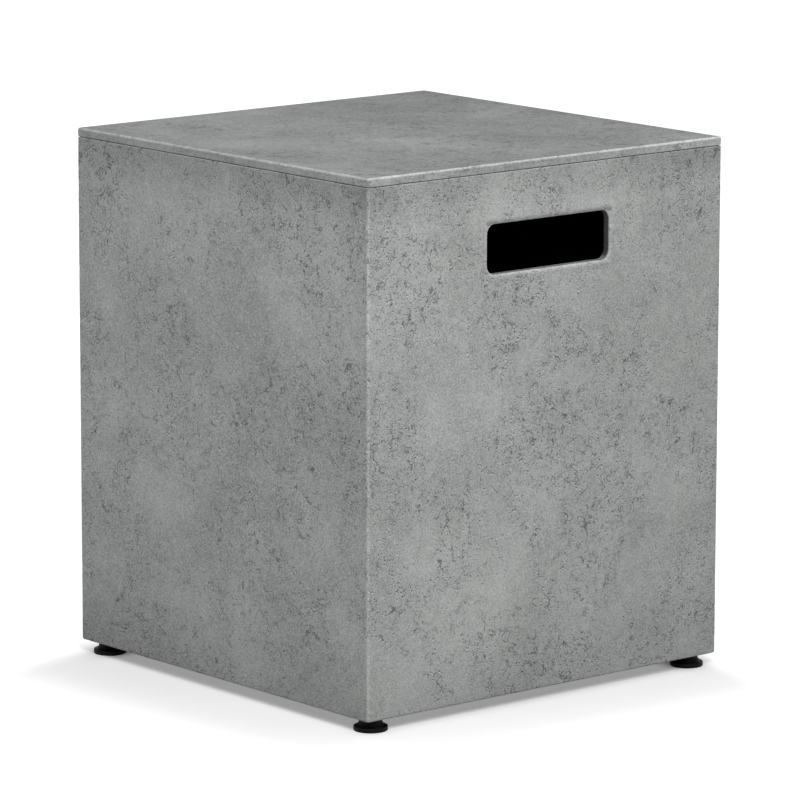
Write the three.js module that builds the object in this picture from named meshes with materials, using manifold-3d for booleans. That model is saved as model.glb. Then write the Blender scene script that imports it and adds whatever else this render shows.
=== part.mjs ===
// Square side table that stands over a gas bottle and hides it.
// Millimetres, +Z up. The origin is on the ground, under the middle of the table.
// The front is the -Y side. The handle openings are in the left (-X) and right (+X) walls.
import * as THREE from 'three';
import { mergeVertices } from 'three/addons/utils/BufferGeometryUtils.js';
import Module from 'manifold-3d';

// Overall sizes
const tableWidth = 430;
const tableDepth = 430;
const tableHeight = 508;
const groundClearance = 12.5;

// Gaps between pieces
const seatGap = 0.05;
const runningGap = 0.3;
const cutOverrun = 5;

// Cast shell
const wallThickness = 10;
const shellCornerRadius = 2.6;
const shellBottomRadius = 2.2;
const shellRimRadius = 1;
const cavityCornerRadius = 14;
const baseRingWidth = 18;
const baseRingHeight = 24;
const baseRingSlope = 10;
const baseRingChamfer = 2;

// Handle openings, measured at their narrowest
const handleWidth = 149;
const handleHeight = 46;
const handleCornerRadius = 9;
const handleDrop = 78.5;
const handleOuterRadius = 2;
const handleInnerRadius = 2;

// Corner blocks that hold the feet
const footInset = 19.5;
const blockReach = 39;
const blockHeight = 34;
const blockCornerRadius = 12;
const blockTopReach = 12;
const blockTopCornerRadius = 3;
const blockSlope = 27;

// Lift-off tabletop
const slabThickness = 8;
const slabTopRadius = 2;
const slabBottomRadius = 0.6;

// Rubber strips between the rim and the slab
const rimPadThickness = 0.6;
const rimPadWidth = 5.6;
const rimPadLength = 40;
const rimPadEndRadius = 1.5;
const rimPadSetback = 2.2;
const rimPadCornerDistance = 60;

// Battens under the slab
const cleatLength = 300;
const cleatWidth = 22;
const cleatDepth = 14;
const cleatChamfer = 4;
const cleatClearance = 3;

// Countersunk screws through the battens
const screwSpacing = 200;
const screwShankRadius = 1.75;
const screwHeadRadius = 3.6;
const screwHeadHeight = 2.2;
const screwHeadEdge = 0.3;
const screwHeadRecess = 0.4;
const screwHoleGap = 0.25;
const screwSlabDepth = 4.8;
const screwTipLength = 2;
const screwTipRadius = 0.5;

// Long nuts cast into the corner blocks
const nutAcrossFlats = 13;
const nutLength = 24;
const nutRecess = 1;
const nutChamferWidth = 1.1;
const nutChamferHeight = 0.6;
const nutBoreChamfer = 0.6;

// Threaded stems, with the thread left plain at its middle diameter
const stemRadius = 3.8;
const stemLength = 38;
const stemChamfer = 0.8;
const stemHeadRadius = 6.2;
const stemHeadThickness = 3;
const stemHeadChamfer = 0.4;
const stemNeckRadius = 3.1;
const stemNeckLength = 5;
const stemSlotWidth = 1.4;
const stemSlotDepth = 2;
const stemHoleRadius = 5;

// Foot bases
const footRadius = 15.75;
const footRimHeight = 4.4;
const footRimRadius = 1;
const footFlareRadius = 14.6;
const footNeckRadius = 10.4;
const footNeckHeight = 3;
const footSoleChamfer = 0.6;
const footSoleRecessRadius = 9.5;
const footSoleRecessDepth = 0.8;
const footSocketFloor = 3;
const footMouthRadius = 5.4;
const footMouthChamfer = 0.6;

// Facets of round forms
const cornerSteps = 5;
const cavitySteps = 6;
const handleSteps = 7;
const edgeSteps = 4;
const smallEdgeSteps = 2;
const flareSteps = 5;
const footSides = 32;
const stemSides = 20;
const screwSides = 14;
const nutSides = 6;

const halfWidth = tableWidth / 2;
const halfDepth = tableDepth / 2;
const slabBottom = tableHeight - slabThickness;
const rimTop = slabBottom - rimPadThickness - 2 * seatGap;
const shellHeight = rimTop - groundClearance;
const nutBottom = groundClearance + nutRecess;
const footHeight = groundClearance - runningGap;
const cleatBottom = slabBottom - seatGap - cleatDepth;

const wasm = await Module();
wasm.setup();

const materials = {
  concrete: new THREE.MeshStandardMaterial({ color: 0x9d9f9c, roughness: 0.86, metalness: 0 }),
  rubber: new THREE.MeshStandardMaterial({ color: 0x1a1a1b, roughness: 0.8, metalness: 0 }),
  wood: new THREE.MeshStandardMaterial({ color: 0x8a7355, roughness: 0.75, metalness: 0 }),
  steel: new THREE.MeshStandardMaterial({ color: 0xb4b6b8, roughness: 0.35, metalness: 1 }),
  nylon: new THREE.MeshStandardMaterial({ color: 0x161617, roughness: 0.5, metalness: 0 }),
};

// Corners of a square plan, with the words used in piece names
const corners = [
  { place: 'front_left', signX: -1, signY: -1 },
  { place: 'front_right', signX: 1, signY: -1 },
  { place: 'back_left', signX: -1, signY: 1 },
  { place: 'back_right', signX: 1, signY: 1 },
];

// Sides of a square plan: turned by this many degrees from the right (+X) side
const sides = [
  { place: 'right', turn: 0, reach: halfWidth, alongReach: halfDepth },
  { place: 'back', turn: 90, reach: halfDepth, alongReach: halfWidth },
  { place: 'left', turn: 180, reach: halfWidth, alongReach: halfDepth },
  { place: 'front', turn: 270, reach: halfDepth, alongReach: halfWidth },
];

function toSolid(geometry) {
  const bare = geometry.clone();
  bare.deleteAttribute('normal');
  bare.deleteAttribute('uv');
  const merged = mergeVertices(bare);
  const index = merged.index.array;
  const kept = [];
  for (let i = 0; i < index.length; i += 3) {
    const [a, b, c] = [index[i], index[i + 1], index[i + 2]];
    if (a !== b && b !== c && c !== a) {
      kept.push(a, b, c);
    }
  }
  return new wasm.Manifold(new wasm.Mesh({
    numProp: 3,
    vertProperties: new Float32Array(merged.attributes.position.array),
    triVerts: new Uint32Array(kept),
  }));
}

function toGeometry(solid) {
  const mesh = solid.getMesh();
  const geometry = new THREE.BufferGeometry();
  geometry.setAttribute('position', new THREE.BufferAttribute(new Float32Array(mesh.vertProperties), 3));
  geometry.setIndex(new THREE.BufferAttribute(new Uint32Array(mesh.triVerts), 1));
  geometry.computeVertexNormals();
  return geometry;
}

// Rounded rectangle about the origin, counter-clockwise
function roundedRectangle(width, depth, radius, steps) {
  const starts = [[1, -1, -90], [1, 1, 0], [-1, 1, 90], [-1, -1, 180]];
  return starts.flatMap(([signX, signY, startAngle]) => (
    Array.from({ length: steps + 1 }, (unused, step) => {
      const angle = THREE.MathUtils.degToRad(startAngle + 90 * step / steps);
      return new THREE.Vector2(
        signX * (width / 2 - radius) + radius * Math.cos(angle),
        signY * (depth / 2 - radius) + radius * Math.sin(angle),
      );
    })
  ));
}

// Closed body through a stack of convex outlines that have the same number of points
function loft(sections) {
  const count = sections[0].outline.length;
  const positions = sections.flatMap(({ outline, height }) => outline.flatMap((p) => [p.x, p.y, height]));
  const triangles = [];
  for (let ring = 0; ring < sections.length - 1; ring += 1) {
    for (let point = 0; point < count; point += 1) {
      const next = (point + 1) % count;
      const low = ring * count;
      const high = low + count;
      triangles.push(low + point, low + next, high + next, low + point, high + next, high + point);
    }
  }
  const top = (sections.length - 1) * count;
  for (let point = 1; point < count - 1; point += 1) {
    triangles.push(0, point + 1, point, top, top + point, top + point + 1);
  }
  const geometry = new THREE.BufferGeometry();
  geometry.setAttribute('position', new THREE.Float32BufferAttribute(positions, 3));
  geometry.setIndex(triangles);
  return geometry;
}

// Body of revolution about Z; the profile holds [radius, height] pairs from axis to axis
function turned(profile, segments) {
  const points = profile.map(([radius, height]) => new THREE.Vector2(radius, height));
  return new THREE.LatheGeometry(points, segments).rotateX(Math.PI / 2);
}

// Inset and rise along a quarter round that starts on a flat face and ends on a side
function quarterRound(radius, steps) {
  return Array.from({ length: steps + 1 }, (unused, step) => {
    const angle = (Math.PI / 2) * (step / steps);
    return { inset: radius * (1 - Math.sin(angle)), rise: radius * (1 - Math.cos(angle)) };
  });
}

// Rounded slab or box standing on height zero, with its own edge radius below and above
function roundedBlock({ width, depth, height, cornerRadius, bottomRadius, topRadius }) {
  const outlineAt = (inset) => (
    roundedRectangle(width - 2 * inset, depth - 2 * inset, cornerRadius - inset, cornerSteps)
  );
  const below = quarterRound(bottomRadius, edgeSteps)
    .map(({ inset, rise }) => ({ outline: outlineAt(inset), height: rise }));
  const above = quarterRound(topRadius, edgeSteps).reverse()
    .map(({ inset, rise }) => ({ outline: outlineAt(inset), height: height - rise }));
  return loft([...below, ...above]);
}

// Hollow of the shell: wall is the thickness left standing at each height
function cavity() {
  const sectionAt = (wall, height) => ({
    outline: roundedRectangle(
      tableWidth - 2 * wall,
      tableDepth - 2 * wall,
      cavityCornerRadius + wallThickness - wall,
      cavitySteps,
    ),
    height,
  });
  return loft([
    sectionAt(baseRingWidth - baseRingChamfer, -cutOverrun),
    sectionAt(baseRingWidth - baseRingChamfer, 0),
    sectionAt(baseRingWidth, baseRingChamfer),
    sectionAt(baseRingWidth, baseRingHeight),
    sectionAt(wallThickness, baseRingHeight + baseRingSlope),
    sectionAt(wallThickness, shellHeight + cutOverrun),
  ]);
}

// Thickened corner that carries a foot; it slopes back into the walls above
function cornerBlock(signX, signY) {
  const buried = wallThickness / 2;
  const sectionAt = (reach, radius, height) => {
    const size = reach - buried;
    const centre = (reach + buried) / 2;
    const shift = new THREE.Vector2(signX * (halfWidth - centre), signY * (halfDepth - centre));
    return {
      outline: roundedRectangle(size, size, radius, cornerSteps).map((point) => point.add(shift)),
      height,
    };
  };
  return loft([
    sectionAt(blockReach, blockCornerRadius, shellBottomRadius),
    sectionAt(blockReach, blockCornerRadius, blockHeight),
    sectionAt(blockTopReach, blockTopCornerRadius, blockHeight + blockSlope),
  ]);
}

// Cutter for a handle opening in the right wall, flared by the rounds at both faces
function handleCutter() {
  const sectionAt = (grow, fromCentre) => ({
    outline: roundedRectangle(
      handleWidth + 2 * grow,
      handleHeight + 2 * grow,
      handleCornerRadius + grow,
      handleSteps,
    ),
    height: fromCentre,
  });
  const innerFace = halfWidth - wallThickness;
  const innerRound = quarterRound(handleInnerRadius, smallEdgeSteps)
    .map(({ inset, rise }) => sectionAt(inset, innerFace + rise));
  const outerRound = quarterRound(handleOuterRadius, edgeSteps).reverse()
    .map(({ inset, rise }) => sectionAt(inset, halfWidth - rise));
  const cutter = loft([
    sectionAt(handleInnerRadius, innerFace - cutOverrun),
    ...innerRound,
    ...outerRound,
    sectionAt(handleOuterRadius, halfWidth + cutOverrun),
  ]);
  const throughWall = new THREE.Matrix4().makeBasis(
    new THREE.Vector3(0, 1, 0),
    new THREE.Vector3(0, 0, 1),
    new THREE.Vector3(1, 0, 0),
  );
  const centreHeight = tableHeight - handleDrop - groundClearance;
  return cutter.applyMatrix4(throughWall).translate(0, 0, centreHeight);
}

// Hexagonal prism on height zero
function hexagonalPrism(acrossFlats, height) {
  const cornerDistance = acrossFlats / 2 / Math.cos(Math.PI / nutSides);
  return new THREE.CylinderGeometry(cornerDistance, cornerDistance, height, nutSides)
    .rotateX(Math.PI / 2)
    .translate(0, 0, height / 2);
}

function footCentre({ signX, signY }) {
  return new THREE.Vector2(signX * (halfWidth - footInset), signY * (halfDepth - footInset));
}

function shellGeometry() {
  let shell = toSolid(roundedBlock({
    width: tableWidth,
    depth: tableDepth,
    height: shellHeight,
    cornerRadius: shellCornerRadius,
    bottomRadius: shellBottomRadius,
    topRadius: shellRimRadius,
  })).subtract(toSolid(cavity()));
  for (const turn of [0, Math.PI]) {
    shell = shell.subtract(toSolid(handleCutter().rotateZ(turn)));
  }
  const pocketDepth = nutRecess + nutLength + seatGap;
  for (const corner of corners) {
    const centre = footCentre(corner);
    const pocket = hexagonalPrism(nutAcrossFlats + 2 * seatGap, pocketDepth + cutOverrun)
      .translate(centre.x, centre.y, -cutOverrun);
    const stemHoleLength = blockHeight + blockSlope + cutOverrun - pocketDepth;
    const stemHole = new THREE.CylinderGeometry(stemHoleRadius, stemHoleRadius, stemHoleLength, stemSides)
      .rotateX(Math.PI / 2)
      .translate(centre.x, centre.y, pocketDepth + stemHoleLength / 2 - seatGap);
    shell = shell.add(toSolid(cornerBlock(corner.signX, corner.signY)))
      .subtract(toSolid(pocket))
      .subtract(toSolid(stemHole));
  }
  return toGeometry(shell);
}

// Where a side's two screws stand: across the batten, and along it
function screwOffsets(side) {
  return [-1, 1].map((end) => new THREE.Vector2(cleatDistance(side), end * screwSpacing / 2));
}

// Distance from the middle of the table to the middle line of a side's batten
function cleatDistance(side) {
  return side.reach - wallThickness - cleatClearance - cleatWidth / 2;
}

function slabGeometry() {
  let slab = toSolid(roundedBlock({
    width: tableWidth,
    depth: tableDepth,
    height: slabThickness,
    cornerRadius: shellCornerRadius,
    bottomRadius: slabBottomRadius,
    topRadius: slabTopRadius,
  }));
  const holeRadius = screwShankRadius + seatGap;
  const holeLength = screwSlabDepth + seatGap + cutOverrun;
  for (const side of sides) {
    const turn = THREE.MathUtils.degToRad(side.turn);
    for (const offset of screwOffsets(side)) {
      const hole = new THREE.CylinderGeometry(holeRadius, holeRadius, holeLength, screwSides)
        .rotateX(Math.PI / 2)
        .translate(offset.x, offset.y, holeLength / 2 - cutOverrun)
        .rotateZ(turn);
      slab = slab.subtract(toSolid(hole));
    }
  }
  return toGeometry(slab);
}

// Batten along Y with chamfered lower edges, standing on height zero, with two countersunk holes
function cleatGeometry() {
  const section = new THREE.Shape([
    new THREE.Vector2(-cleatWidth / 2 + cleatChamfer, 0),
    new THREE.Vector2(cleatWidth / 2 - cleatChamfer, 0),
    new THREE.Vector2(cleatWidth / 2, cleatChamfer),
    new THREE.Vector2(cleatWidth / 2, cleatDepth),
    new THREE.Vector2(-cleatWidth / 2, cleatDepth),
    new THREE.Vector2(-cleatWidth / 2, cleatChamfer),
  ]);
  const batten = new THREE.ExtrudeGeometry(section, { depth: cleatLength, bevelEnabled: false })
    .rotateX(Math.PI / 2)
    .translate(0, cleatLength / 2, 0);
  let cleat = toSolid(batten);
  const headRadius = screwHeadRadius + seatGap;
  const shankRadius = screwShankRadius + screwHoleGap;
  for (const end of [-1, 1]) {
    const hole = turned([
      [0, -cutOverrun],
      [headRadius, -cutOverrun],
      [headRadius, screwHeadRecess + screwHeadEdge],
      [shankRadius, screwHeadRecess + screwHeadHeight],
      [shankRadius, cleatDepth + cutOverrun],
      [0, cleatDepth + cutOverrun],
    ], screwSides).translate(0, end * screwSpacing / 2, 0);
    cleat = cleat.subtract(toSolid(hole));
  }
  return toGeometry(cleat);
}

// Countersunk screw that points up, with the face of its head on height zero
function screwGeometry() {
  const length = cleatDepth + seatGap + screwSlabDepth - screwHeadRecess;
  return turned([
    [0, 0],
    [screwHeadRadius, 0],
    [screwHeadRadius, screwHeadEdge],
    [screwShankRadius, screwHeadHeight],
    [screwShankRadius, length - screwTipLength],
    [screwTipRadius, length],
    [0, length],
  ], screwSides);
}

// Rubber strip along Y, standing on height zero
function rimPadGeometry() {
  const outline = roundedRectangle(rimPadWidth, rimPadLength, rimPadEndRadius, smallEdgeSteps);
  return loft([{ outline, height: 0 }, { outline, height: rimPadThickness }]);
}

// Long hexagonal nut standing on height zero, with turned ends and a plain bore
function nutGeometry() {
  const flat = nutAcrossFlats / 2;
  const bore = stemRadius + runningGap;
  const ends = turned([
    [0, 0],
    [flat, 0],
    [flat + nutChamferWidth, nutChamferHeight],
    [flat + nutChamferWidth, nutLength - nutChamferHeight],
    [flat, nutLength],
    [0, nutLength],
  ], stemSides);
  const hole = turned([
    [0, -nutBoreChamfer],
    [bore + 2 * nutBoreChamfer, -nutBoreChamfer],
    [bore, nutBoreChamfer],
    [bore, nutLength - nutBoreChamfer],
    [bore + 2 * nutBoreChamfer, nutLength + nutBoreChamfer],
    [0, nutLength + nutBoreChamfer],
  ], stemSides);
  const nut = toSolid(hexagonalPrism(nutAcrossFlats, nutLength))
    .intersect(toSolid(ends))
    .subtract(toSolid(hole));
  return toGeometry(nut);
}

// Stem standing on its round head, with a screwdriver slot across its top
function stemGeometry() {
  const neckTop = stemHeadThickness + stemNeckLength;
  const stem = turned([
    [0, 0],
    [stemHeadRadius - stemHeadChamfer, 0],
    [stemHeadRadius, stemHeadChamfer],
    [stemHeadRadius, stemHeadThickness - stemHeadChamfer],
    [stemHeadRadius - stemHeadChamfer, stemHeadThickness],
    [stemNeckRadius, stemHeadThickness],
    [stemNeckRadius, neckTop],
    [stemRadius, neckTop + stemRadius - stemNeckRadius],
    [stemRadius, stemLength - stemChamfer],
    [stemRadius - stemChamfer, stemLength],
    [0, stemLength],
  ], stemSides);
  const slotHeight = stemSlotDepth + cutOverrun;
  const slotLength = 2 * (stemRadius + cutOverrun);
  const slot = new THREE.BoxGeometry(slotLength, stemSlotWidth, slotHeight)
    .translate(0, 0, stemLength - stemSlotDepth + slotHeight / 2);
  return toGeometry(toSolid(stem).subtract(toSolid(slot)));
}

// Foot base: a round sole, a concave flare up to a neck, and a socket that holds the stem's head
function footBaseGeometry() {
  const socketRadius = stemHeadRadius + runningGap;
  const socketTop = footSocketFloor + stemHeadThickness + 2 * runningGap;
  const neckBottom = footHeight - footNeckHeight;
  const rim = quarterRound(footRimRadius, smallEdgeSteps).reverse()
    .map(({ inset, rise }) => [footRadius - inset, footRimHeight - rise]);
  const flare = Array.from({ length: flareSteps + 1 }, (unused, step) => {
    const angle = (Math.PI / 2) * (1 - step / flareSteps);
    return [
      footFlareRadius - (footFlareRadius - footNeckRadius) * Math.cos(angle),
      neckBottom - (neckBottom - footRimHeight) * Math.sin(angle),
    ];
  });
  return turned([
    [0, footSoleRecessDepth],
    [footSoleRecessRadius, footSoleRecessDepth],
    [footSoleRecessRadius + footSoleRecessDepth, 0],
    [footRadius - footSoleChamfer, 0],
    [footRadius, footSoleChamfer],
    ...rim,
    ...flare,
    [footNeckRadius, footHeight],
    [footMouthRadius + footMouthChamfer, footHeight],
    [footMouthRadius, footHeight - footMouthChamfer],
    [footMouthRadius, socketTop],
    [socketRadius, socketTop],
    [socketRadius, footSocketFloor],
    [0, footSocketFloor],
  ], footSides);
}

function addPiece(parent, name, geometry, material, place) {
  const piece = new THREE.Mesh(geometry, material);
  piece.name = name;
  piece.position.set(...place);
  parent.add(piece);
}

const table = new THREE.Group();

addPiece(table, 'cover_shell', shellGeometry(), materials.concrete, [0, 0, groundClearance]);
addPiece(table, 'tabletop', slabGeometry(), materials.concrete, [0, 0, slabBottom]);

// Pieces that repeat on the four sides
for (const side of sides) {
  const turnedSide = new THREE.Group();
  turnedSide.rotation.z = THREE.MathUtils.degToRad(side.turn);
  table.add(turnedSide);

  const cleatPlace = [cleatDistance(side), 0, cleatBottom];
  addPiece(turnedSide, `lid_cleat_${side.place}`, cleatGeometry(), materials.wood, cleatPlace);

  screwOffsets(side).forEach((offset, index) => {
    const place = [offset.x, offset.y, cleatBottom + screwHeadRecess];
    addPiece(turnedSide, `cleat_screw_${side.place}_${index + 1}`, screwGeometry(), materials.steel, place);
  });

  [-1, 1].forEach((end, index) => {
    const across = side.reach - rimPadSetback - rimPadWidth / 2;
    const along = end * (side.alongReach - rimPadCornerDistance);
    const place = [across, along, rimTop + seatGap];
    addPiece(turnedSide, `rim_pad_${side.place}_${index + 1}`, rimPadGeometry(), materials.rubber, place);
  });
}

// Pieces that repeat at the four feet
for (const corner of corners) {
  const foot = new THREE.Group();
  const centre = footCentre(corner);
  foot.position.set(centre.x, centre.y, 0);
  table.add(foot);

  addPiece(foot, `foot_nut_${corner.place}`, nutGeometry(), materials.steel, [0, 0, nutBottom]);
  const stemPlace = [0, 0, footSocketFloor + seatGap];
  addPiece(foot, `foot_stem_${corner.place}`, stemGeometry(), materials.steel, stemPlace);
  addPiece(foot, `foot_base_${corner.place}`, footBaseGeometry(), materials.nylon, [0, 0, 0]);
}

export default table;
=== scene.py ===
import math

import bmesh
import bpy
from mathutils import Matrix, Vector, noise


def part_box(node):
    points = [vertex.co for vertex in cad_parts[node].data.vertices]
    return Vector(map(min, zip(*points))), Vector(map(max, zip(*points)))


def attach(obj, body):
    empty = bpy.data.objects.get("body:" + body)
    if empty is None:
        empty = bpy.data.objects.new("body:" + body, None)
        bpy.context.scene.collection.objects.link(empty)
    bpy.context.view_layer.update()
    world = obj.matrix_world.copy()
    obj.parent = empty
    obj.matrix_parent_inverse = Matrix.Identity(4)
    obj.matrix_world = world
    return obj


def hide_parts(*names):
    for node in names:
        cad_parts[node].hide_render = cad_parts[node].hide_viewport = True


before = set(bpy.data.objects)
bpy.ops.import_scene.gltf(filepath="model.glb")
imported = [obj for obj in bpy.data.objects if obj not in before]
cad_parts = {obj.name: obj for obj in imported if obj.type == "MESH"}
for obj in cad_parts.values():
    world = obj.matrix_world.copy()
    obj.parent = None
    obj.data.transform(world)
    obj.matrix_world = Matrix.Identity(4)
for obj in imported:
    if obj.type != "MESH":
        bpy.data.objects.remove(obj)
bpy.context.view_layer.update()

mm = 0.001
weldReach = 0.002 * mm     # corners nearer than this are one
tinyEdge = 0.004 * mm      # edges shorter than this are left over from a cut
flatAngle = math.radians(0.4)      # faces that turn by less than this are one
sharpAngle = math.radians(35)      # edges that turn by more than this are sharp
cornerNames = ["front_left", "front_right", "back_left", "back_right"]
sideNames = ["right", "back", "left", "front"]


def addNode(tree, kind, values=None, **settings):
    made = tree.nodes.new(kind)
    for key, value in settings.items():
        setattr(made, key, value)
    for key, value in (values or {}).items():
        if isinstance(value, bpy.types.NodeSocket):
            tree.links.new(value, made.inputs[key])
        else:
            made.inputs[key].default_value = value
    return made


def maths(tree, operation, first, second=None, third=None, clamp=False):
    values = {0: first}
    if second is not None:
        values[1] = second
    if third is not None:
        values[2] = third
    return addNode(tree, "ShaderNodeMath", values, operation=operation, use_clamp=clamp).outputs[0]


def vectorMaths(tree, operation, first, second):
    values = {0: first, ("Scale" if operation == "SCALE" else 1): second}
    return addNode(tree, "ShaderNodeVectorMath", values, operation=operation).outputs[0]


def fromTo(tree, value, low, high, toLow=0.0, toHigh=1.0, smooth=True):
    values = {"Value": value, "From Min": low, "From Max": high, "To Min": toLow, "To Max": toHigh}
    kind = "SMOOTHSTEP" if smooth else "LINEAR"
    return addNode(tree, "ShaderNodeMapRange", values, interpolation_type=kind, clamp=True).outputs["Result"]


def noiseNode(tree, place, scale, detail=2.0, roughness=0.5, distortion=0.0):
    values = {"Vector": place, "Scale": scale, "Detail": detail, "Roughness": roughness,
              "Distortion": distortion}
    return addNode(tree, "ShaderNodeTexNoise", values)


def noiseAt(tree, place, *character):
    return noiseNode(tree, place, *character).outputs["Fac"]


def offMiddle(tree, value):
    return maths(tree, "SUBTRACT", value, 0.5)


def objectPlace(tree, shift=(0, 0, 0), stretch=(1, 1, 1), turn=(0, 0, 0)):
    place = addNode(tree, "ShaderNodeTexCoord").outputs["Object"]
    values = {"Vector": place, "Location": shift, "Rotation": turn, "Scale": stretch}
    return addNode(tree, "ShaderNodeMapping", values).outputs["Vector"]


def objectAxes(tree):
    place = addNode(tree, "ShaderNodeTexCoord").outputs["Object"]
    return addNode(tree, "ShaderNodeSeparateXYZ", {"Vector": place}).outputs


def stretched(tree, place, stretch):
    return addNode(tree, "ShaderNodeMapping", {"Vector": place, "Scale": stretch}).outputs["Vector"]


def mixColours(tree, share, first, second):
    values = {"Factor": share, "A": first, "B": second}
    return addNode(tree, "ShaderNodeMix", values, data_type="RGBA").outputs["Result"]


def greyOf(tree, shade):
    return addNode(tree, "ShaderNodeCombineColor", {0: shade, 1: shade, 2: shade}).outputs[0]


def newMaterial(name, shader):
    material = bpy.data.materials.new(name)
    material.use_nodes = True
    tree = material.node_tree
    tree.nodes.clear()
    surface = addNode(tree, "ShaderNodeBsdfPrincipled", shader)
    output = addNode(tree, "ShaderNodeOutputMaterial")
    tree.links.new(surface.outputs["BSDF"], output.inputs["Surface"])
    return material, tree, surface


def finishSurface(tree, surface, colour, rough, height, relief):
    # relief is the strength and the distance of the bump
    bump = addNode(tree, "ShaderNodeBump", {"Strength": relief[0], "Distance": relief[1], "Height": height})
    tree.links.new(colour, surface.inputs["Base Color"])
    tree.links.new(rough, surface.inputs["Roughness"])
    tree.links.new(bump.outputs["Normal"], surface.inputs["Normal"])


concreteLook = {
    # place of the patterns
    "shift": (0.31, 0.17, 0.05),
    "stretch": (1, 1, 1),
    "colour": (0.336, 0.348, 0.343),       # mean colour of the cast face
    "warmColour": (0.338, 0.348, 0.340),   # patches with a little more sand showing
    # features per metre, strength
    "clouds": (4.5, 0.21),
    "mottle": (24.0, 0.09),
    "fleck": (120.0, 0.08),
    "grain": (560.0, 0.29),
    "sand": (900.0, 0.18),
    # cells per metre, radius as a share of a cell, strength
    "finePits": (600.0, 0.43, 0.70),
    "pits": (390.0, 0.34, 0.65),
    "widePits": (120.0, 0.13, 0.60),
    "chips": (480.0, 0.34, 0.60),
    "paintedPitHighlight": (1.0 * mm, 0.60),           # painted highlight from above on the lower edge of a pit: shift, strength
    # share of the cells without a pit: elsewhere, change in open patches, change along chains
    "plainShare": (0.960, -0.09, -0.09),
    "widePitsPlain": 0.975,
    "chipsPlain": 0.93,
    # features per metre, width, strength
    "cracks": (34.0, 0.010, 0.60),
    "loops": (88.0, 0.017, 0.50),
    # detail, roughness and distortion of the noises that are sized above
    "noises": {
        "clouds": (3.0, 0.55, 0.4),
        "mottle": (4.0, 0.6, 0.6),
        "fleck": (3.0, 0.6),
        "grain": (3.0, 0.75),
    },
    "lineNoise": (3.0, 0.55, 0.3),
    # noises with features per metre, detail, roughness and distortion, and the levels read from them
    "bend": (300.0, 2.0),
    "bendReach": 0.0024,                   # metres for a full swing of the noise
    "patches": (11.0, 4.0, 0.62, 0.9),
    "patchLevels": (0.36, 0.56),
    "patchTone": (-0.05, 1.03),            # change of lightness in a patch, lightness outside
    "chains": (13.0, 4.0, 0.6, 0.6),
    "chainWidth": 0.045,
    "broken": (95.0, 2.0, 0.6),            # where the cracks show
    "brokenLevels": (0.45, 0.54),
    "warm": (6.5, 3.0, 0.6, 0.5),
    "warmLevels": (0.45, 0.65),
    "roughness": 0.80,
    "roughMottle": 0.25,
    "roughPits": 0.3,
    "shine": 0.16,
    # lightening of worn edges and of the painted highlight on edges that face up
    "edgeWearAndHighlight": 0.30,
    # heights in millimetres of the pits and cracks, grain, sand and mottle
    "heights": (-0.7, 0.22, 0.05, 0.45),
    "relief": (0.6, mm),
    "insideShadeLevel": 0.012,                 # painted shade: the inside is made near black
    "insideReach": 205.3 * mm,             # it lies within this distance of the middle
    "insideFrom": 13.5 * mm,               # and above this height
    # painted shade in the handle openings: half length, sill; where it starts and ends, strength
    "opening": (85 * mm, 406.5 * mm),
    "revealShade": (213.6 * mm, 211.8 * mm, 0.84),
    "sillShade": (214.4 * mm, 212.9 * mm, 0.52),
    "sillHeights": (mm, 4 * mm),           # heights over the sill where the one goes over into the other
    # bands round the openings and along the rim: a painted highlight on the sill's lip, painted shade just
    # beneath it and in the top round of the opening, and the walls darker towards the rim:
    # half length, heights where it starts, is full, begins to end and ends, strength
    "bands": [
        (74 * mm, 402.4 * mm, 404.6 * mm, 407.5 * mm, 408 * mm, 0.14),
        (73 * mm, 396 * mm, 399.5 * mm, 401.5 * mm, 403 * mm, -0.06),
        (75 * mm, 451 * mm, 452 * mm, 453.5 * mm, 458 * mm, -0.42),
        (1.0, 456 * mm, 497 * mm, 501 * mm, 502 * mm, -0.19),
    ],
    "bandEnds": 3 * mm,                    # a band fades out over this length
    "plainWallFrom": 213.5 * mm,           # what lies farther to the front or back is a plain wall
    "sideHeights": (505.5 * mm, 506.5 * mm),   # where the slab's edge goes over into its top
    "sideTone": (1.0, 1.0),                # of the slab's edge over the handle walls and the plain walls
    # the plain walls are darker towards the rim, and painted shade darkens them towards the ground: from, to,
    # strength
    "plainRim": (430 * mm, 495 * mm, -0.07),
    "plainFoot": (90 * mm, 20 * mm, -0.05),
}
# the tabletop is troweled smoother and clouded more
topLook = dict(
    concreteLook,
    shift=(1.43, 2.71, 0.9),
    stretch=(0.62, 0.62, 1),
    clouds=(6.0, 0.30),
    mottle=(24.0, 0.17),
    grain=(520.0, 0.23),
    sand=(900.0, 0.14),
    finePits=(480.0, 0.36, 0.33),
    pits=(260.0, 0.28, 0.36),
    widePits=(75.0, 0.12, 0.25),
    paintedPitHighlight=(0.8 * mm, 0.0),
    cracks=(34.0, 0.014, 0.34),
    loops=(88.0, 0.024, 0.24),
    sideTone=(0.86, 0.79),                 # its edge is darker than its top
)
noiseGain = 4      # a noise stays within about a quarter of its middle value
cellGain = 2       # the value of a cell stays within a half of it


def cellValues(tree, place, scale):
    cells = addNode(tree, "ShaderNodeTexVoronoi", {"Vector": place, "Scale": scale})
    return cells, addNode(tree, "ShaderNodeSeparateColor", {"Color": cells.outputs["Color"]}).outputs[0]


def cellSpots(tree, place, layer, plainShare):
    # round spots in some of the cells of a pattern; plainShare is the share of cells without one
    scale, radius, strength = layer
    fullSize, softEdge = 0.12, 0.07        # share of the cells that grow to full size, width of the edge
    cells, chance = cellValues(tree, place, scale)
    size = fromTo(tree, maths(tree, "SUBTRACT", chance, plainShare), 0.0, fullSize, 0.0, radius, smooth=False)
    spots = fromTo(tree, maths(tree, "SUBTRACT", size, cells.outputs["Distance"]), 0.0, softEdge)
    return maths(tree, "MULTIPLY", spots, strength)


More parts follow.
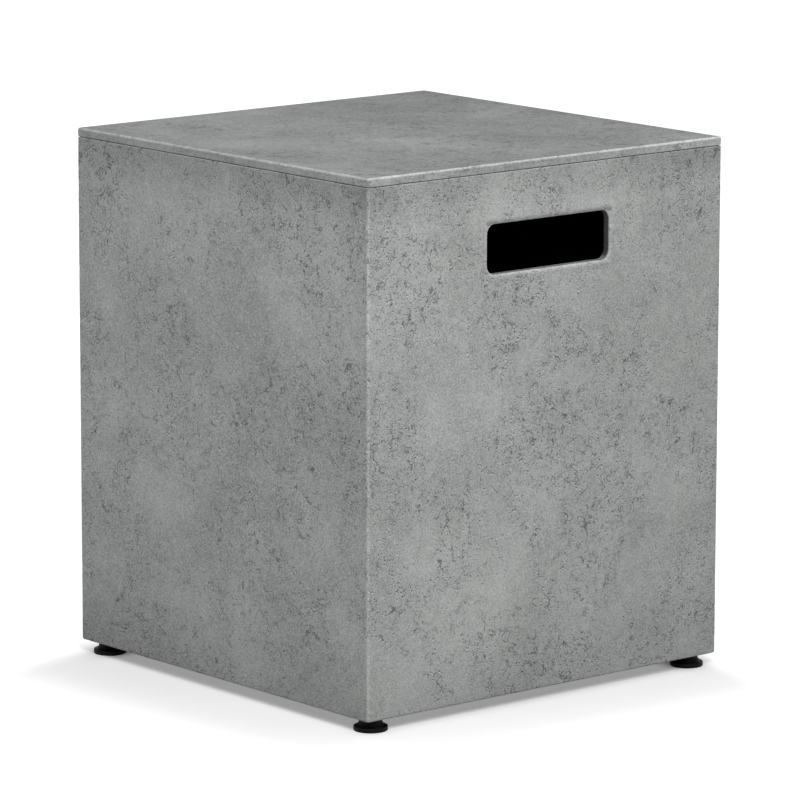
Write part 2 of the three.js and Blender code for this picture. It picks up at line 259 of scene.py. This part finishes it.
def smallPits(tree, place, look, plainShare):
    return maths(tree, "MAXIMUM", cellSpots(tree, place, look["finePits"], plainShare),
                 cellSpots(tree, place, look["pits"], plainShare))


def levelLines(tree, place, layer, character, broken):
    # broken wandering lines along one level of a rough noise
    scale, width, strength = layer
    lines = maths(tree, "ABSOLUTE", offMiddle(tree, noiseAt(tree, place, scale, *character)))
    lines = fromTo(tree, lines, 0.25 * width, width, 1.0, 0.0)
    return maths(tree, "MULTIPLY", maths(tree, "MULTIPLY", lines, broken), strength)


def shellShade(tree, look, axes, plainWall):
    # painted shade in the openings, the bands round them and along the rim, and the ends of the plain walls,
    # as one factor
    across, along = (maths(tree, "ABSOLUTE", axes[key]) for key in "XY")
    halfLength, sill = look["opening"]
    low, high = (sill + height for height in look["sillHeights"])
    recessShade = 0.0
    for key, atSill, higher in (("revealShade", 0.0, 1.0), ("sillShade", 1.0, 0.0)):
        start, end, strength = look[key]
        level = fromTo(tree, axes["Z"], low, high, atSill * strength, higher * strength)
        recessShade = maths(tree, "MULTIPLY_ADD", level, fromTo(tree, across, end, start, 1.0, 0.0), recessShade)
    recessShade = maths(tree, "MULTIPLY", recessShade, maths(tree, "LESS_THAN", along, halfLength))
    shade = maths(tree, "SUBTRACT", 1.0, recessShade)
    for halfLength, start, full, fade, end, strength in look["bands"]:
        band = maths(tree, "MULTIPLY", fromTo(tree, axes["Z"], start, full),
                     fromTo(tree, axes["Z"], fade, end, 1.0, 0.0))
        ends = fromTo(tree, along, halfLength, halfLength + look["bandEnds"], 1.0, 0.0)
        band = maths(tree, "MULTIPLY", band, ends)
        shade = maths(tree, "MULTIPLY", shade, maths(tree, "MULTIPLY_ADD", band, strength, 1.0))
    for start, end, strength in (look["plainRim"], look["plainFoot"]):
        darker = fromTo(tree, axes["Z"], start, end, 0.0, strength)
        shade = maths(tree, "MULTIPLY", shade, maths(tree, "MULTIPLY_ADD", darker, plainWall, 1.0))
    return shade


def concreteMaterial(name, look, shadedInside):
    material, tree, surface = newMaterial(name, {"Specular IOR Level": look["shine"]})
    place = objectPlace(tree, look["shift"], look["stretch"])

    # wandering copy of the place, so that pits and cracks have ragged outlines
    bend = noiseNode(tree, place, *look["bend"]).outputs["Color"]
    bend = vectorMaths(tree, "SUBTRACT", bend, (0.5, 0.5, 0.5))
    ragged = vectorMaths(tree, "ADD", place, vectorMaths(tree, "SCALE", bend, look["bendReach"]))

    layers = {key: noiseAt(tree, place, look[key][0], *character)
              for key, character in look["noises"].items()}
    sandScale, sandStrength = look["sand"]
    sand = cellValues(tree, place, sandScale)[1]

    # patches where the skin is open, and wandering chains: most pits lie there
    patches = fromTo(tree, noiseAt(tree, place, *look["patches"]), *look["patchLevels"])
    chains = maths(tree, "ABSOLUTE", offMiddle(tree, noiseAt(tree, place, *look["chains"])))
    chains = fromTo(tree, chains, 0.0, look["chainWidth"], 1.0, 0.0)
    elsewhere, inPatches, alongChains = look["plainShare"]
    plainShare = maths(tree, "MULTIPLY_ADD", patches, inPatches, elsewhere)
    plainShare = maths(tree, "MULTIPLY_ADD", chains, alongChains, plainShare)

    pits = smallPits(tree, ragged, look, plainShare)
    pits = maths(tree, "MAXIMUM", pits, cellSpots(tree, ragged, look["widePits"], look["widePitsPlain"]))
    chips = cellSpots(tree, ragged, look["chips"], look["chipsPlain"])
    # painted highlight: the small pits again, moved down a little, lighten the lower edge of each pit and are
    # added to the chips
    pitHighlightShift, pitHighlightStrength = look["paintedPitHighlight"]
    pitHighlights = smallPits(tree, vectorMaths(tree, "ADD", ragged, (0, 0, pitHighlightShift)), look, plainShare)
    chips = maths(tree, "MULTIPLY_ADD", pitHighlights, pitHighlightStrength, chips)

    broken = fromTo(tree, noiseAt(tree, place, *look["broken"]), *look["brokenLevels"])
    broken = maths(tree, "MULTIPLY", broken, patches)
    cracks = maths(tree, "MAXIMUM", levelLines(tree, ragged, look["cracks"], look["lineNoise"], broken),
                   levelLines(tree, ragged, look["loops"], look["lineNoise"], broken))
    dark = maths(tree, "MAXIMUM", pits, cracks)

    # lightness as a factor around one
    tone = 1.0
    for key, value in layers.items():
        tone = maths(tree, "MULTIPLY_ADD", offMiddle(tree, value), noiseGain * look[key][1], tone)
    tone = maths(tree, "MULTIPLY_ADD", offMiddle(tree, sand), cellGain * sandStrength, tone)
    tone = maths(tree, "MULTIPLY", tone, maths(tree, "MULTIPLY_ADD", patches, *look["patchTone"]))
    tone = maths(tree, "MULTIPLY", tone, maths(tree, "ADD", 1.0, chips))
    tone = maths(tree, "MULTIPLY", tone, maths(tree, "SUBTRACT", 1.0, dark))
    axes = objectAxes(tree)
    plainWall = maths(tree, "GREATER_THAN", maths(tree, "ABSOLUTE", axes["Y"]), look["plainWallFrom"])
    handleSide, plainSide = look["sideTone"]
    side = maths(tree, "MULTIPLY_ADD", plainWall, plainSide - handleSide, handleSide)
    tone = maths(tree, "MULTIPLY", tone, fromTo(tree, axes["Z"], *look["sideHeights"], side, 1.0))

    # worn edges are a little lighter, and edges that face up carry a painted highlight; the mesh says where
    # they are
    wearAndHighlight = addNode(tree, "ShaderNodeAttribute", attribute_name="wearAndHighlight").outputs["Fac"]
    tone = maths(tree, "MULTIPLY", tone, maths(tree, "MULTIPLY_ADD", wearAndHighlight, look["edgeWearAndHighlight"], 1.0))

    warm = fromTo(tree, noiseAt(tree, place, *look["warm"]), *look["warmLevels"])
    colour = mixColours(tree, warm, (*look["colour"], 1), (*look["warmColour"], 1))
    colour = vectorMaths(tree, "SCALE", colour, tone)
    rough = maths(tree, "MULTIPLY_ADD", offMiddle(tree, layers["mottle"]), look["roughMottle"],
                  look["roughness"])
    rough = maths(tree, "MULTIPLY_ADD", dark, look["roughPits"], rough, clamp=True)

    if shadedInside:
        # painted shade: the inside of the shell is made near black and without reflections, and shellShade
        # paints shade and highlight round the openings and on the walls
        within = [maths(tree, "LESS_THAN", maths(tree, "ABSOLUTE", axes[key]), look["insideReach"])
                  for key in "XY"]
        inside = maths(tree, "GREATER_THAN", axes["Z"], look["insideFrom"])
        inside = maths(tree, "MULTIPLY", maths(tree, "MULTIPLY", *within), inside)
        insideShade = maths(tree, "MULTIPLY", tone, look["insideShadeLevel"])
        colour = vectorMaths(tree, "SCALE", colour, shellShade(tree, look, axes, plainWall))
        colour = mixColours(tree, inside, colour, insideShade)
        shine = maths(tree, "MULTIPLY_ADD", inside, -look["shine"], look["shine"])
        tree.links.new(shine, surface.inputs["Specular IOR Level"])

    ofDark, ofGrain, ofSand, ofMottle = look["heights"]
    height = maths(tree, "MULTIPLY", dark, ofDark)
    height = maths(tree, "MULTIPLY_ADD", layers["grain"], ofGrain, height)
    height = maths(tree, "MULTIPLY_ADD", sand, ofSand, height)
    height = maths(tree, "MULTIPLY_ADD", layers["mottle"], ofMottle, height)
    finishSurface(tree, surface, colour, rough, height, look["relief"])
    return material


def mergedCopy(node):
    bm = bmesh.new()
    bm.from_mesh(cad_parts[node].data)
    bmesh.ops.remove_doubles(bm, verts=bm.verts, dist=weldReach)
    bmesh.ops.dissolve_limit(bm, angle_limit=flatAngle, verts=bm.verts, edges=bm.edges)
    return bm


def addObject(name, data):
    made = bpy.data.objects.new(name, data)
    bpy.context.scene.collection.objects.link(made)
    return made


def makePiece(bm, name, body, material, replaced, smoothAngle=sharpAngle):
    mesh = bpy.data.meshes.new(name)
    bm.to_mesh(mesh)
    bm.free()
    mesh.materials.append(material)
    mesh.shade_smooth()
    mesh.set_sharp_from_angle(angle=smoothAngle)
    piece = addObject(name, mesh)
    even = piece.modifiers.new("evenShading", "WEIGHTED_NORMAL")
    even.keep_sharp = True
    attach(piece, body)
    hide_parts(*replaced)
    return piece


def softEdges(piece, width):
    # rounds the sharp edges of a piece before its shading is evened
    bevel = piece.modifiers.new("softEdges", "BEVEL")
    bevel.width = width
    bevel.segments = 2
    bevel.limit_method = "ANGLE"
    bevel.angle_limit = sharpAngle
    # with these two on, the seams within flat faces would pinch the rounds or make them uneven
    bevel.use_clamp_overlap = False
    bevel.loop_slide = False
    piece.modifiers.move(len(piece.modifiers) - 1, 0)


def combine(bm, other, operation, crossesItself=False):
    # joins two closed bmeshes, or takes the second out of the first, with an exact boolean
    objects = []
    for source in (bm, other):
        mesh = bpy.data.meshes.new("cutWork")
        source.to_mesh(mesh)
        source.free()
        objects.append(addObject("cutWork", mesh))
    body, tool = objects
    boolean = body.modifiers.new("cut", "BOOLEAN")
    boolean.operation = operation
    boolean.solver = "EXACT"
    boolean.use_self = crossesItself
    boolean.object = tool
    ready = body.evaluated_get(bpy.context.evaluated_depsgraph_get())
    result = bmesh.new()
    result.from_mesh(ready.to_mesh())
    bmesh.ops.dissolve_degenerate(result, dist=tinyEdge, edges=result.edges)
    for work in objects:
        bpy.data.objects.remove(work)
    return result


def addBar(bm, size):
    # a block round the origin, with its size in millimetres; its corners are returned
    bar = bmesh.ops.create_cube(bm, size=mm)["verts"]
    bmesh.ops.scale(bm, verts=bar, vec=size)
    return bar


def inOrder(bm):
    # the same mesh with its corners and faces sorted by place, because spin and bevel leave them in a
    # new order each run
    verts = sorted(bm.verts, key=lambda vert: vert.co[:])
    number = {vert: index for index, vert in enumerate(verts)}
    faces = sorted([number[vert] for vert in face.verts] for face in bm.faces)
    result = bmesh.new()
    made = [result.verts.new(vert.co) for vert in verts]
    for corners in faces:
        result.faces.new([made[index] for index in corners])
    bm.free()
    return result


def spinLine(bm, points, steps, turns=1, rise=0.0):
    # turns the line through [radius, height] pairs in millimetres round the Z axis, with so many steps
    # a turn; it climbs by the rise each turn
    verts = [bm.verts.new((radius * mm, 0, height * mm)) for radius, height in points]
    edges = [bm.edges.new(pair) for pair in zip(verts, verts[1:])]
    bmesh.ops.spin(bm, geom=verts + edges, cent=(0, 0, 0), axis=(0, 0, 1), dvec=(0, 0, rise / steps),
                   angle=2 * math.pi * turns, steps=steps * turns, use_merge=rise == 0)


def spinProfile(points, steps):
    bm = bmesh.new()
    spinLine(bm, points, steps)
    bmesh.ops.remove_doubles(bm, verts=bm.verts, dist=weldReach)
    bmesh.ops.recalc_face_normals(bm, faces=bm.faces)
    return inOrder(bm)


def bevelRing(bm, ring, reach, segments):
    # rounds the circular edge that lies at this [radius, height] pair
    near = 0.02
    chosen = []
    for edge in bm.edges:
        ends = [(math.hypot(vert.co.x, vert.co.y) / mm, vert.co.z / mm) for vert in edge.verts]
        if all(abs(radius - ring[0]) < near and abs(height - ring[1]) < near for radius, height in ends):
            chosen.append(edge)
    bmesh.ops.bevel(bm, geom=chosen, offset=reach * mm, segments=segments, profile=0.5,
                    affect="EDGES", material=-1, clamp_overlap=True)
    return inOrder(bm)


def crossCutEdges(bm, settings):
    # cuts the long narrow faces of the rounded edges across, so that an edge can wear unevenly
    step = settings["edgeStep"]
    shortest = 0.3 * step
    for axis in range(3):
        strips = []
        for face in bm.faces:
            reach = [vert.co[axis] for vert in face.verts]
            length = max(reach) - min(reach)
            if length > 3 * step and face.calc_area() / length < settings["widestStrip"]:
                strips.append(face)
        position, last = settings["cutSpan"]
        direction = Vector([float(axis == other) for other in range(3)])
        while strips and position < last:
            position += step
            strips = [face for face in strips
                      if max(vert.co[axis] for vert in face.verts) > position + shortest]
            near = [face for face in strips
                    if min(vert.co[axis] for vert in face.verts) < position - shortest]
            if near:
                edges = list({edge for face in near for edge in face.edges})
                verts = list({vert for face in near for vert in face.verts})
                cut = bmesh.ops.bisect_plane(bm, geom=near + edges + verts, dist=0.01 * mm,
                                             plane_co=direction * position, plane_no=direction)
                done = set(near)
                strips = [face for face in strips if face not in done]
                strips += [part for part in cut["geom"] if isinstance(part, bmesh.types.BMFace)]


def wearAndHighlightEdges(bm, settings):
    # marks the rounded edges in a layer that the material reads as lighter wear plus a painted highlight on
    # edges that face up, and wears them inwards
    bm.normal_update()
    layer = bm.verts.layers.float.new("wearAndHighlight")
    hollowScale, hollowFrom, hollowGain = settings["hollows"]
    for vert in bm.verts:
        if any(face.calc_area() > settings["flatArea"] for face in vert.link_faces):
            continue
        place = vert.co * settings["wearScale"]
        rough = 0.5 + 0.5 * noise.fractal(place, 1.0, 2.0, 3)
        paintedHighlight = settings["upwardHighlight"] * max(0.0, vert.normal.z)
        paintedHighlight *= 1 - settings["plainWallLessHighlight"] * abs(vert.normal.y)
        vert[layer] = max(0.0, settings["wearMean"] + settings["wearSwing"] * (rough - 0.5) + paintedHighlight)
        hollow = noise.noise(place * hollowScale + Vector(settings["hollowShift"])) - hollowFrom
        vert.co -= vert.normal * settings["wearDepth"] * min(1.0, max(0.0, hollow) * hollowGain)


castShell = {
    "edgeStep": 3.2 * mm,      # length of one piece of a rounded edge
    "widestStrip": 6 * mm,     # a face of a rounded edge is narrower than this
    "cutSpan": (-0.25, 0.55),  # metres; past the part on every side
    "flatArea": 60e-6,         # square metres; larger faces are flat
    "wearScale": 120.0,
    "wearMean": 0.38,
    "wearSwing": 0.6,
    "upwardHighlight": 1.6,        # painted highlight on edges that face up
    "plainWallLessHighlight": 0.0,     # and less of it on edges over the two plain walls
    "hollows": (1.7, 0.05, 1.6),   # places worn inwards: scale, level where they start, gain
    "hollowShift": (7.1, 3.3, 5.9),
    "wearDepth": 0.18 * mm,
}
tabletopSlab = dict(castShell, widestStrip=4 * mm, upwardHighlight=3.4, plainWallLessHighlight=0.85)

shellConcrete = concreteMaterial("castConcreteShell", concreteLook, shadedInside=True)
slabConcrete = concreteMaterial("castConcreteTop", topLook, shadedInside=False)

for node, name, body, settings, material in (
        ("cover_shell", "castShell", "shell", castShell, shellConcrete),
        ("tabletop", "tabletopSlab", "lid", tabletopSlab, slabConcrete)):
    bm = mergedCopy(node)
    crossCutEdges(bm, settings)
    wearAndHighlightEdges(bm, settings)
    makePiece(bm, name, body, material, [node])
print("shell and tabletop made")


battenLook = {
    "light": (0.42, 0.29, 0.165),
    "dark": (0.25, 0.155, 0.08),
    "shine": 0.35,
    "shift": (0.4, 0.2, 0.1),
    "grainStretch": (1, 0.06, 1),
    "rings": {"Scale": 95.0, "Distortion": 5.0, "Detail": 2.0, "Detail Scale": 1.6},
    # features per metre, detail, roughness
    "fibres": (900.0, 3.0, 0.7),
    "tint": (22.0, 2.0),
    # shares of the rings, the fibres and the tint in the dark colour, and what is taken off
    "darkShares": (0.55, 0.45, 0.35, 0.15),
    "roughness": (0.2, 0.5),
    "relief": (0.5, 0.3 * mm),
    "edgeRound": 0.5 * mm,
    "smoothAngle": math.radians(25),
}


def woodMaterial(name, look, turn):
    material, tree, surface = newMaterial(name, {"Specular IOR Level": look["shine"]})
    place = objectPlace(tree, look["shift"], (1, 1, 1), (0, 0, turn))
    along = stretched(tree, place, look["grainStretch"])
    rings = addNode(tree, "ShaderNodeTexWave", {"Vector": along, **look["rings"]},
                    wave_type="BANDS", bands_direction="X").outputs["Fac"]
    fibres = noiseAt(tree, along, *look["fibres"])
    tint = noiseAt(tree, along, *look["tint"])
    ofRings, ofFibres, ofTint, less = look["darkShares"]
    share = maths(tree, "MULTIPLY_ADD", rings, ofRings, maths(tree, "MULTIPLY", fibres, ofFibres))
    share = maths(tree, "MULTIPLY_ADD", tint, ofTint, maths(tree, "SUBTRACT", share, less), clamp=True)
    colour = mixColours(tree, share, (*look["light"], 1), (*look["dark"], 1))
    rough = maths(tree, "MULTIPLY_ADD", fibres, *look["roughness"])
    finishSurface(tree, surface, colour, rough, fibres, look["relief"])
    return material


battenWoodY = woodMaterial("battenWoodY", battenLook, 0.0)
battenWoodX = woodMaterial("battenWoodX", battenLook, math.pi / 2)
for side in sideNames:
    wood = battenWoodY if side in ("left", "right") else battenWoodX
    batten = makePiece(mergedCopy(f"lid_cleat_{side}"), f"batten_{side}", "lid", wood,
                       [f"lid_cleat_{side}"], battenLook["smoothAngle"])
    softEdges(batten, battenLook["edgeRound"])


zincLook = {
    "colour": (0.60, 0.61, 0.62),
    "streakStretch": (1, 1, 6),
    # features per metre, detail, roughness
    "streaks": (240.0, 4.0, 0.7),
    "bloom": (130.0, 3.0),
    "bloomShare": 0.5,
    "roughness": (0.35, 0.18),
    "relief": (0.25, 0.08 * mm),
}


def zincMaterial(name, look):
    material, tree, surface = newMaterial(name, {"Metallic": 1.0})
    place = objectPlace(tree)
    streaks = noiseAt(tree, stretched(tree, place, look["streakStretch"]), *look["streaks"])
    bloom = noiseAt(tree, place, *look["bloom"])
    shade = maths(tree, "MULTIPLY_ADD", offMiddle(tree, bloom), look["bloomShare"], 1.0)
    colour = vectorMaths(tree, "SCALE", look["colour"], shade)
    rough = maths(tree, "MULTIPLY_ADD", streaks, *look["roughness"])
    finishSurface(tree, surface, colour, rough, streaks, look["relief"])
    return material


zinc = zincMaterial("zincPlate", zincLook)

# in millimetres; heights start at the face of the head
battenScrew = {
    "head": [(0, 0), (3.6, 0), (3.6, 0.3), (1.75, 2.2)],
    "headRound": ((3.6, 0), 0.12, 2),      # radius and height of the edge, reach, segments
    "tip": [(1.75, 16.4), (0.5, 18.4), (0, 18.4)],
    "thread": (3.4, 15.6),
    "pitch": 1.4,
    # radius, and height as a share of the pitch
    "ridge": [(1.55, 0), (1.75, 0.35), (1.55, 0.7)],
    "steps": 24,
    "recess": (0.9, 3.9, 1.5),             # width, span and depth of the cross
    "recessTaper": (0.45, 0.7, 1),
    "turns": (0.4, 1.1, 0.7),              # start, and more for each screw and each side, in radians
}


def screwMesh(settings):
    shank = []
    height, last = settings["thread"]
    while height < last:
        shank += [(radius, height + share * settings["pitch"]) for radius, share in settings["ridge"]]
        height += settings["pitch"]
    bm = spinProfile(settings["head"] + shank + settings["tip"], settings["steps"])
    bm = bevelRing(bm, *settings["headRound"])
    width, span, depth = settings["recess"]
    cross = bmesh.new()
    for turn in (0, math.pi / 2):
        bar = addBar(cross, (span, width, 2 * depth))
        deep = [vert for vert in bar if vert.co.z > 0]
        bmesh.ops.scale(cross, verts=deep, vec=settings["recessTaper"])
        bmesh.ops.rotate(cross, verts=bar, cent=(0, 0, 0), matrix=Matrix.Rotation(turn, 3, "Z"))
    # the two bars cross, so they get one outer skin first
    cross = combine(cross, bmesh.new(), "UNION", crossesItself=True)
    return combine(bm, cross, "DIFFERENCE")


screwMaster = screwMesh(battenScrew)
for side in sideNames:
    for number in (1, 2):
        node = f"cleat_screw_{side}_{number}"
        low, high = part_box(node)
        start, perScrew, perSide = battenScrew["turns"]
        turn = start + perScrew * number + perSide * sideNames.index(side)
        bm = screwMaster.copy()
        bmesh.ops.rotate(bm, verts=bm.verts, cent=(0, 0, 0), matrix=Matrix.Rotation(turn, 3, "Z"))
        bmesh.ops.translate(bm, verts=bm.verts, vec=((low.x + high.x) / 2, (low.y + high.y) / 2, low.z))
        makePiece(bm, f"battenScrew_{side}_{number}", "lid", zinc, [node])
screwMaster.free()


rimStrip = {
    "shine": 0.3,
    # features per metre, detail, roughness
    "texture": (700.0, 3.0, 0.7),
    "stains": (60.0, 3.0),
    "shade": (0.02, 0.006),
    "roughFrom": "texture",
    "roughness": (0.2, 0.7),
    "relief": (0.4, 0.1 * mm),
    "edgeRound": 0.25 * mm,
}


def blackMaterial(name, look):
    # black rubber or nylon with a fine texture and greyer stains
    material, tree, surface = newMaterial(name, {"Specular IOR Level": look["shine"]})
    place = objectPlace(tree)
    layers = {key: noiseAt(tree, place, *look[key]) for key in ("texture", "stains")}
    colour = greyOf(tree, maths(tree, "MULTIPLY_ADD", layers["stains"], *look["shade"]))
    rough = maths(tree, "MULTIPLY_ADD", layers[look["roughFrom"]], *look["roughness"])
    finishSurface(tree, surface, colour, rough, layers["texture"], look["relief"])
    return material


stripRubber = blackMaterial("stripRubber", rimStrip)
for side in sideNames:
    for number in (1, 2):
        node = f"rim_pad_{side}_{number}"
        strip = makePiece(mergedCopy(node), f"rimStrip_{side}_{number}", "shell",
                          stripRubber, [node])
        softEdges(strip, rimStrip["edgeRound"])
print("battens, screws and rubber strips made")


# in millimetres; heights start at the ground
levellingFoot = {
    # outside of the base from the sole up, then its inside down to the sole
    "base": [(0, 0.8), (9.5, 0.8), (10.3, 0), (15.15, 0), (15.75, 0.6), (15.75, 4.4), (14.6, 4.4),
             (13.6, 4.62), (12.7, 5.15), (11.9, 6.0), (11.25, 7.05), (10.75, 8.2), (10.4, 9.2),
             (10.4, 12.2), (6.0, 12.2), (5.4, 11.6), (5.4, 6.6), (6.5, 6.6), (6.5, 3.0), (0, 3.0)],
    "baseRounds": [((15.75, 4.4), 0.9, 4), ((10.4, 12.2), 0.4, 2)],
    "baseSteps": 64,
    "head": [(0, 3.05), (5.8, 3.05), (6.2, 3.45), (6.2, 5.65), (5.8, 6.05), (3.1, 6.05), (3.1, 11.05),
             (3.2, 11.25), (0, 11.25)],
    "thread": (11.05, 41.05),
    "pitch": 1.25,
    # radius, and height as a share of the pitch
    "ridge": [(3.25, 0), (3.25, 0.25), (3.98, 0.56), (3.98, 0.69), (3.25, 1)],
    "steps": 32,
    "slot": (12, 1.4, 3.7),
}


def threadMesh(settings):
    # a closed rod with a true helix and a screwdriver slot in its upper end
    pitch = settings["pitch"]
    low, high = settings["thread"]
    turns = math.ceil((high - low) / pitch) + 2
    ridge = [(radius, low - pitch + share * pitch) for radius, share in settings["ridge"]]
    bm = bmesh.new()
    spinLine(bm, ridge, settings["steps"], turns, pitch * mm)
    bmesh.ops.remove_doubles(bm, verts=bm.verts, dist=tinyEdge)
    for height, inner, outer in ((low, True, False), (high, False, True)):
        bmesh.ops.bisect_plane(bm, geom=bm.verts[:] + bm.edges[:] + bm.faces[:],
                               plane_co=(0, 0, height * mm), plane_no=(0, 0, 1),
                               clear_inner=inner, clear_outer=outer)
    openEdges = [edge for edge in bm.edges if len(edge.link_faces) == 1]
    bmesh.ops.holes_fill(bm, edges=openEdges, sides=0)
    bmesh.ops.recalc_face_normals(bm, faces=bm.faces)
    slot = bmesh.new()
    bmesh.ops.translate(slot, verts=addBar(slot, settings["slot"]), vec=(0, 0, high * mm))
    return combine(inOrder(bm), slot, "DIFFERENCE")


footLook = {
    "shine": 0.1,
    # features per metre, detail, roughness
    "texture": (1100.0, 2.0, 0.6),
    "stains": (150.0, 4.0, 0.65),
    "shade": (0.005, 0.001),
    "roughFrom": "stains",
    "roughness": (0.3, 0.38),
    "relief": (0.35, 0.05 * mm),
}
footNylon = blackMaterial("footNylon", footLook)
baseMaster = spinProfile(levellingFoot["base"], levellingFoot["baseSteps"])
for ring, reach, segments in levellingFoot["baseRounds"]:
    baseMaster = bevelRing(baseMaster, ring, reach, segments)
headMesh = spinProfile(levellingFoot["head"], levellingFoot["steps"])
stemMaster = combine(threadMesh(levellingFoot), headMesh, "UNION")
# its many-cornered faces are split here, because the default split doubles an edge at the slot
bmesh.ops.triangulate(stemMaster, faces=[face for face in stemMaster.faces if len(face.verts) > 4])
for place in cornerNames:
    low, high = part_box(f"foot_base_{place}")
    middle = Vector(((low.x + high.x) / 2, (low.y + high.y) / 2, 0))
    bm = baseMaster.copy()
    bmesh.ops.translate(bm, verts=bm.verts, vec=middle)
    makePiece(bm, f"footBase_{place}", f"base_{place}", footNylon, [f"foot_base_{place}"])
    bm = stemMaster.copy()
    bmesh.ops.translate(bm, verts=bm.verts, vec=middle)
    makePiece(bm, f"threadedStem_{place}", f"stem_{place}", zinc, [f"foot_stem_{place}"])
    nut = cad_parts[f"foot_nut_{place}"]
    nut.data.materials.clear()
    nut.data.materials.append(zinc)
baseMaster.free()
stemMaster.free()
print("feet made")


studio = {
    "floorSize": 30,                         # metres
    "tableReach": 0.215,                     # half the plan of the table, in metres
    "roundReach": 0.05,
    # what the floor throws back beside the table and at this distance from it
    "floorSpread": 0.35,
    "floorBounce": (0.35, 1.0),
    "floorGain": 1.2,
    # light that the camera sees from the floor: from, to, at the first, at the second
    "nearGlow": (-0.04, 0.03, 0.30, 0.07),
    "farGlow": (0.05, 0.21, 0.0, 0.48),
    "farSteep": 3.0,                         # the shadow is narrow behind the table
    "worldFill": 0.49,
    # azimuth, elevation, distance, power, diameter; azimuth 0 is in front, 90 on the right
    "keyLamp": (60, 31, 2.0, 19.2, 0.9),
    "lampAim": (0, 0, 0.3),
    "cameraPlace": (3.8358, -3.2257, 1.2032),
    "cameraTurn": (79.25, 0.10, 49.91),      # tilt, roll and heading in degrees
    "lens": 242.21,
    "sensor": 36,
    "clip": (0.1, 100),
}


def newTree(data):
    data.use_nodes = True
    data.node_tree.nodes.clear()
    return data.node_tree


def whiteForView(tree):
    rays = addNode(tree, "ShaderNodeLightPath")
    seen = maths(tree, "MAXIMUM", rays.outputs["Is Camera Ray"], rays.outputs["Is Glossy Ray"])
    return maths(tree, "MAXIMUM", seen, rays.outputs["Is Transmission Ray"])


def makeFloor(settings):
    bm = bmesh.new()
    bmesh.ops.create_grid(bm, x_segments=1, y_segments=1, size=settings["floorSize"])
    mesh = bpy.data.meshes.new("floor")
    bm.to_mesh(mesh)
    bm.free()
    floor = addObject("floor", mesh)
    material = bpy.data.materials.new("paleFloor")
    tree = newTree(material)
    seen = whiteForView(tree)
    # distance from the outline of the table on the floor
    axes = objectAxes(tree)
    reach = settings["tableReach"] - settings["roundReach"]
    squares = []
    for value, near in ((axes["X"], 1.0), (axes["Y"], -1.0)):
        front = maths(tree, "MULTIPLY_ADD", value, near, -reach)
        behind = maths(tree, "MULTIPLY_ADD", value, -near, -reach)
        out = maths(tree, "MAXIMUM", front, maths(tree, "MULTIPLY", behind, settings["farSteep"]))
        squares.append(maths(tree, "POWER", maths(tree, "MAXIMUM", out, 0.0), 2.0))
    outside = maths(tree, "SQRT", maths(tree, "ADD", *squares))
    outside = maths(tree, "SUBTRACT", outside, settings["roundReach"])
    bounce = fromTo(tree, outside, 0.0, settings["floorSpread"], *settings["floorBounce"])
    gain = maths(tree, "SUBTRACT", settings["floorGain"], bounce)
    shade = maths(tree, "MULTIPLY_ADD", gain, seen, bounce)
    diffuse = addNode(tree, "ShaderNodeBsdfDiffuse", {"Color": greyOf(tree, shade)})
    glow = maths(tree, "ADD", fromTo(tree, outside, *settings["nearGlow"]),
                 fromTo(tree, outside, *settings["farGlow"]))
    light = addNode(tree, "ShaderNodeEmission", {"Strength": maths(tree, "MULTIPLY", seen, glow)})
    both = addNode(tree, "ShaderNodeAddShader", {0: diffuse.outputs[0], 1: light.outputs[0]})
    addNode(tree, "ShaderNodeOutputMaterial", {"Surface": both.outputs[0]})
    mesh.materials.append(material)


def makeWorld(settings):
    world = bpy.data.worlds.new("studioWorld")
    tree = newTree(world)
    fill = settings["worldFill"]
    strength = maths(tree, "MULTIPLY_ADD", whiteForView(tree), 1.0 - fill, fill)
    back = addNode(tree, "ShaderNodeBackground", {"Color": (1, 1, 1, 1), "Strength": strength})
    addNode(tree, "ShaderNodeOutputWorld", {"Surface": back.outputs[0]})
    bpy.context.scene.world = world


def makeLamp(settings):
    azimuth, elevation, distance, power, diameter = settings["keyLamp"]
    around, up = math.radians(azimuth), math.radians(elevation)
    away = Vector((math.sin(around) * math.cos(up), -math.cos(around) * math.cos(up), math.sin(up)))
    data = bpy.data.lights.new("keyLamp", "AREA")
    data.shape = "DISK"
    data.size = diameter
    data.energy = power
    lamp = addObject("keyLamp", data)
    lamp.location = Vector(settings["lampAim"]) + away * distance
    lamp.rotation_euler = away.to_track_quat("Z", "Y").to_euler()


def makeCamera(settings):
    data = bpy.data.cameras.new("camera")
    data.lens = settings["lens"]
    data.sensor_width = settings["sensor"]
    data.clip_start, data.clip_end = settings["clip"]
    camera = addObject("camera", data)
    tilt, roll, heading = (math.radians(value) for value in settings["cameraTurn"])
    turned = Matrix.Rotation(heading, 4, "Z") @ Matrix.Rotation(tilt, 4, "X") @ Matrix.Rotation(roll, 4, "Z")
    camera.matrix_world = Matrix.Translation(settings["cameraPlace"]) @ turned
    bpy.context.scene.camera = camera


makeFloor(studio)
makeWorld(studio)
makeLamp(studio)
makeCamera(studio)
bpy.context.scene.view_settings.view_transform = "Standard"
print("floor, light and camera made")
